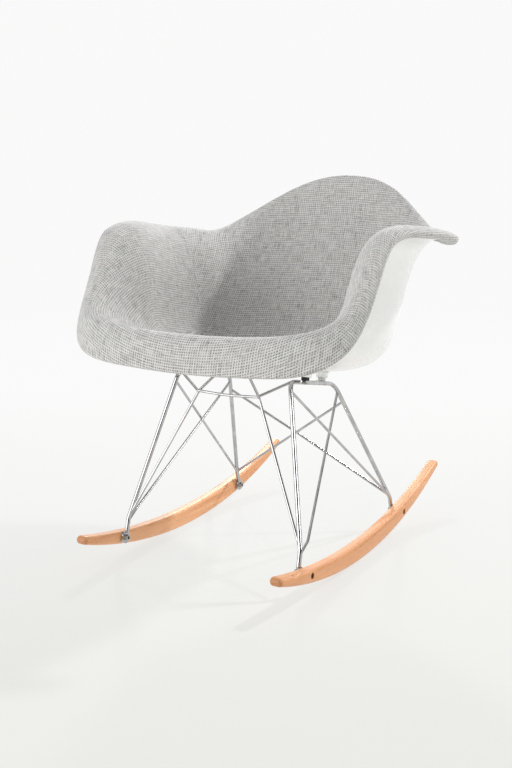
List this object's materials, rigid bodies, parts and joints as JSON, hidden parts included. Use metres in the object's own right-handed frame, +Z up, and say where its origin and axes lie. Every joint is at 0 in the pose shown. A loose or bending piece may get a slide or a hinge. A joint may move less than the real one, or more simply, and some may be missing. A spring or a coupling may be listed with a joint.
{
  "type": "moulded plastic rocking chair",
  "caption": "Low rocking armchair: a moulded white plastic tub shell with a pale grey fabric inside, on a chromed wire base that stands on a pair of curved beech rockers.",
  "frame": {"origin": "floor level, under the middle of the overall box; the rockers touch the floor along the line y = -31 mm", "axes": "+Z up, -Y to the front, where the sitter faces, +X to the sitter's left"},
  "size_m": [0.6366, 0.704, 0.6855],
  "materials": {
    "upholstery": "woven, matt, two-tone pale grey",
    "foam": "open-cell foam, matt",
    "shell": "glossy white moulding",
    "chrome_wire": "polished chrome plate",
    "zinc_steel": "zinc plated",
    "beech": "clear matt lacquer on beech",
    "black_rubber": "matt",
    "white_nylon": "matt"
  },
  "bodies": {
    "root": {"rocker_left": "beech", "rocker_right": "beech", "side_frame_left": "chrome_wire", "side_frame_right": "chrome_wire", "rear_foot_brace_left": "chrome_wire", "rear_foot_brace_right": "chrome_wire", "front_foot_brace_left": "chrome_wire", "front_foot_brace_right": "chrome_wire", "rear_cross_brace_left": "chrome_wire", "rear_cross_brace_right": "chrome_wire", "front_cross_wire": "chrome_wire", "front_arch_wire": "chrome_wire", "rocker_bolts": "zinc_steel", "rocker_washers": "zinc_steel", "rocker_nuts": "zinc_steel", "mount_tab_front_left": "chrome_wire", "mount_tab_front_right": "chrome_wire", "mount_tab_rear_left": "chrome_wire", "mount_tab_rear_right": "chrome_wire", "mount_spacer_front_left": "black_rubber", "mount_spacer_front_right": "black_rubber", "mount_spacer_rear_left": "white_nylon", "mount_spacer_rear_right": "white_nylon", "mount_screws": "zinc_steel", "threaded_inserts": "zinc_steel", "fabric_cover": "upholstery", "foam_liner": "foam", "seat_shell": "shell"}
  },
  "joints": []
}
